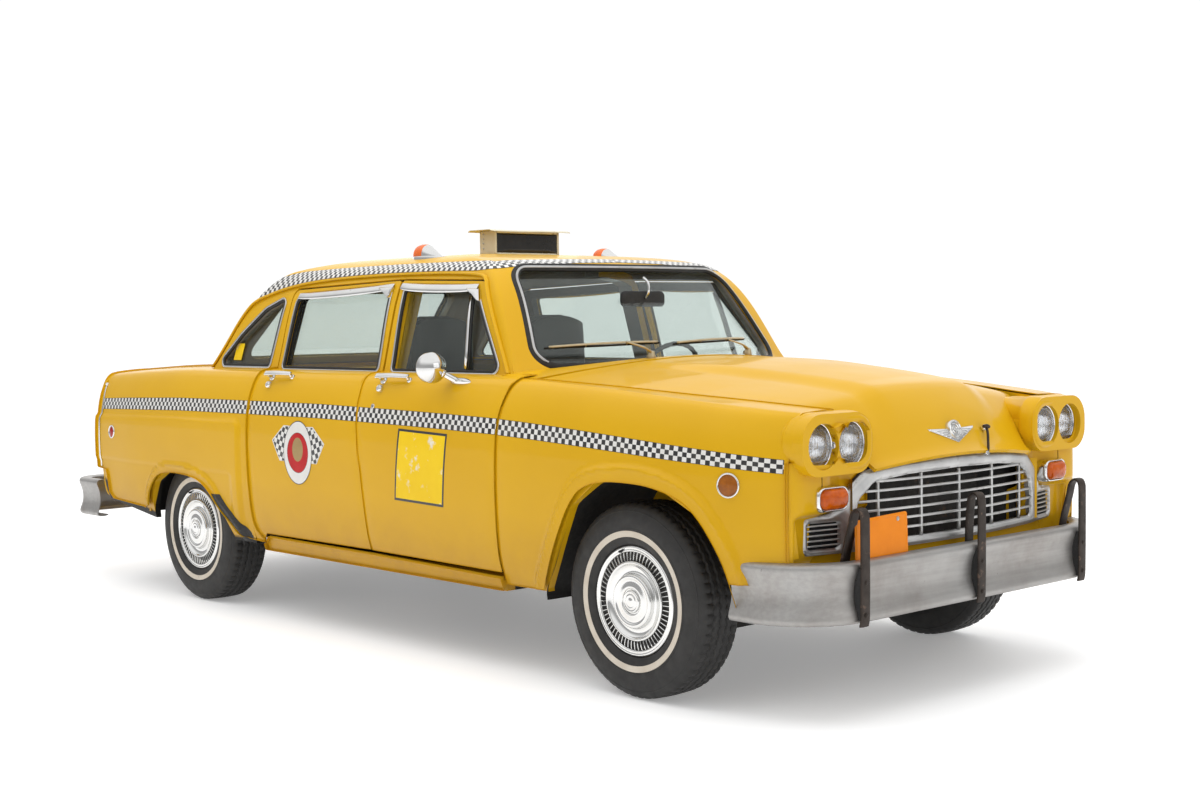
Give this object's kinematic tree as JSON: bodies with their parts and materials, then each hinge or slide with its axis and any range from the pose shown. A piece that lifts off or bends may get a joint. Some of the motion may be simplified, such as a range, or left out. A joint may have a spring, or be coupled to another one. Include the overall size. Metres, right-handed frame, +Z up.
{
  "type": "taxi sedan car",
  "caption": "Four-door taxi sedan with round headlamp pods, checkered side band, roof sign, strap bumper guards, opening doors, hood and trunk, and steering front wheels.",
  "frame": {"origin": "on the ground, under the middle of the overall box", "axes": "+X forward, +Y to the car's left, +Z up"},
  "size_m": [5.2, 2.0774, 1.7359],
  "materials": {
    "body_paint": "old gloss paint",
    "window_glass": "clear",
    "bumper_metal": "dull, scratched",
    "grille_metal": "worn satin",
    "lamp_glass": "fluted clear",
    "red_lens": "moulded lens",
    "amber_lens": "moulded lens",
    "chassis_steel": "black, dusty",
    "engine_iron": "rough",
    "exhaust_steel": "heat stained",
    "seat_vinyl": "grained vinyl",
    "dash_plastic": "matte",
    "wheel_rim_plastic": "satin",
    "sign_metal": "satin",
    "tyre_rubber": "rubber",
    "wheel_steel": "bright cover"
  },
  "bodies": {
    "root": {"roof_shell": "body_paint", "fixed_glass": "window_glass", "front_wings": "body_paint", "cowl_panel": "body_paint", "rear_quarters": "body_paint", "rear_deck": "body_paint", "tail_panel": "body_paint", "tail_lamps": "red_lens", "nose_panel": "body_paint", "grille": "grille_metal", "front_lamps": "lamp_glass", "front_bumper": "bumper_metal", "rear_bumper": "bumper_metal", "floor_pan": "chassis_steel", "frame_rails": "chassis_steel", "frame_horns": "chassis_steel", "engine_block": "engine_iron", "front_suspension": "chassis_steel", "rear_axle": "chassis_steel", "exhaust": "exhaust_steel", "fuel_tank": "chassis_steel", "front_seat": "seat_vinyl", "rear_seat": "seat_vinyl", "dashboard": "dash_plastic", "roof_sign": "sign_metal", "roof_lights": "amber_lens"},
    "front_door_left": {"front_door_left": "body_paint", "front_door_glass_left": "window_glass"},
    "front_door_right": {"front_door_right": "body_paint", "front_door_glass_right": "window_glass"},
    "rear_door_left": {"rear_door_left": "body_paint", "rear_door_glass_left": "window_glass"},
    "rear_door_right": {"rear_door_right": "body_paint", "rear_door_glass_right": "window_glass"},
    "hood": {"hood": "body_paint"},
    "trunk_lid": {"trunk_lid": "body_paint"},
    "knuckle_left": {"knuckle_left": "chassis_steel"},
    "knuckle_right": {"knuckle_right": "chassis_steel"},
    "steering_wheel": {"steering_wheel": "wheel_rim_plastic"},
    "front_wheel_left": {"front_tyre_left": "tyre_rubber", "front_wheel_left": "wheel_steel"},
    "front_wheel_right": {"front_tyre_right": "tyre_rubber", "front_wheel_right": "wheel_steel"},
    "rear_wheel_left": {"rear_tyre_left": "tyre_rubber", "rear_wheel_left": "wheel_steel"},
    "rear_wheel_right": {"rear_tyre_right": "tyre_rubber", "rear_wheel_right": "wheel_steel"}
  },
  "joints": [
    {"name": "front_door_left_hinge", "type": "hinge", "parent": "root", "child": "front_door_left", "pos_m": [1.092, 0.962, 0.7], "axis": [0, 0, -1], "range_deg": [0, 65]},
    {"name": "front_door_right_hinge", "type": "hinge", "parent": "root", "child": "front_door_right", "pos_m": [1.092, -0.962, 0.7], "axis": [0, 0, 1], "range_deg": [0, 65]},
    {"name": "rear_door_left_hinge", "type": "hinge", "parent": "root", "child": "rear_door_left", "pos_m": [0.19, 0.962, 0.7], "axis": [0, 0, -1], "range_deg": [0, 65]},
    {"name": "rear_door_right_hinge", "type": "hinge", "parent": "root", "child": "rear_door_right", "pos_m": [0.19, -0.962, 0.7], "axis": [0, 0, 1], "range_deg": [0, 65]},
    {"name": "hood_hinge", "type": "hinge", "parent": "root", "child": "hood", "pos_m": [1.172, 0, 1.165], "axis": [0, -1, 0], "range_deg": [0, 50]},
    {"name": "trunk_hinge", "type": "hinge", "parent": "root", "child": "trunk_lid", "pos_m": [-1.6, 0, 1.13], "axis": [0, 1, 0], "range_deg": [0, 70]},
    {"name": "steer_right", "type": "hinge", "parent": "root", "child": "knuckle_right", "pos_m": [1.78, -0.7, 0.3465], "axis": [0, 0, 1], "range_deg": [-30, 30]},
    {"name": "steer_left", "type": "hinge", "parent": "root", "child": "knuckle_left", "pos_m": [1.78, 0.7, 0.3465], "axis": [0, 0, 1], "range_deg": [-30, 30]},
    {"name": "steering_wheel_turn", "type": "hinge", "parent": "root", "child": "steering_wheel", "pos_m": [0.646, 0.38, 1.03], "axis": [-0.9063, 0, 0.4226], "range_deg": [-540, 540]},
    {"name": "front_wheel_left_spin", "type": "hinge", "parent": "knuckle_left", "child": "front_wheel_left", "pos_m": [1.78, 0.8185, 0.3465], "axis": [0, 1, 0], "continuous": true},
    {"name": "front_wheel_right_spin", "type": "hinge", "parent": "knuckle_right", "child": "front_wheel_right", "pos_m": [1.78, -0.8185, 0.3465], "axis": [0, 1, 0], "continuous": true},
    {"name": "rear_wheel_left_spin", "type": "hinge", "parent": "root", "child": "rear_wheel_left", "pos_m": [-1.268, 0.804, 0.3465], "axis": [0, 1, 0], "continuous": true},
    {"name": "rear_wheel_right_spin", "type": "hinge", "parent": "root", "child": "rear_wheel_right", "pos_m": [-1.268, -0.804, 0.3465], "axis": [0, 1, 0], "continuous": true}
  ],
  "couplings": [
    {"joint": "steer_left", "follows": "steer_right", "ratio": 1},
    {"joint": "steering_wheel_turn", "follows": "steer_right", "ratio": 18}
  ]
}
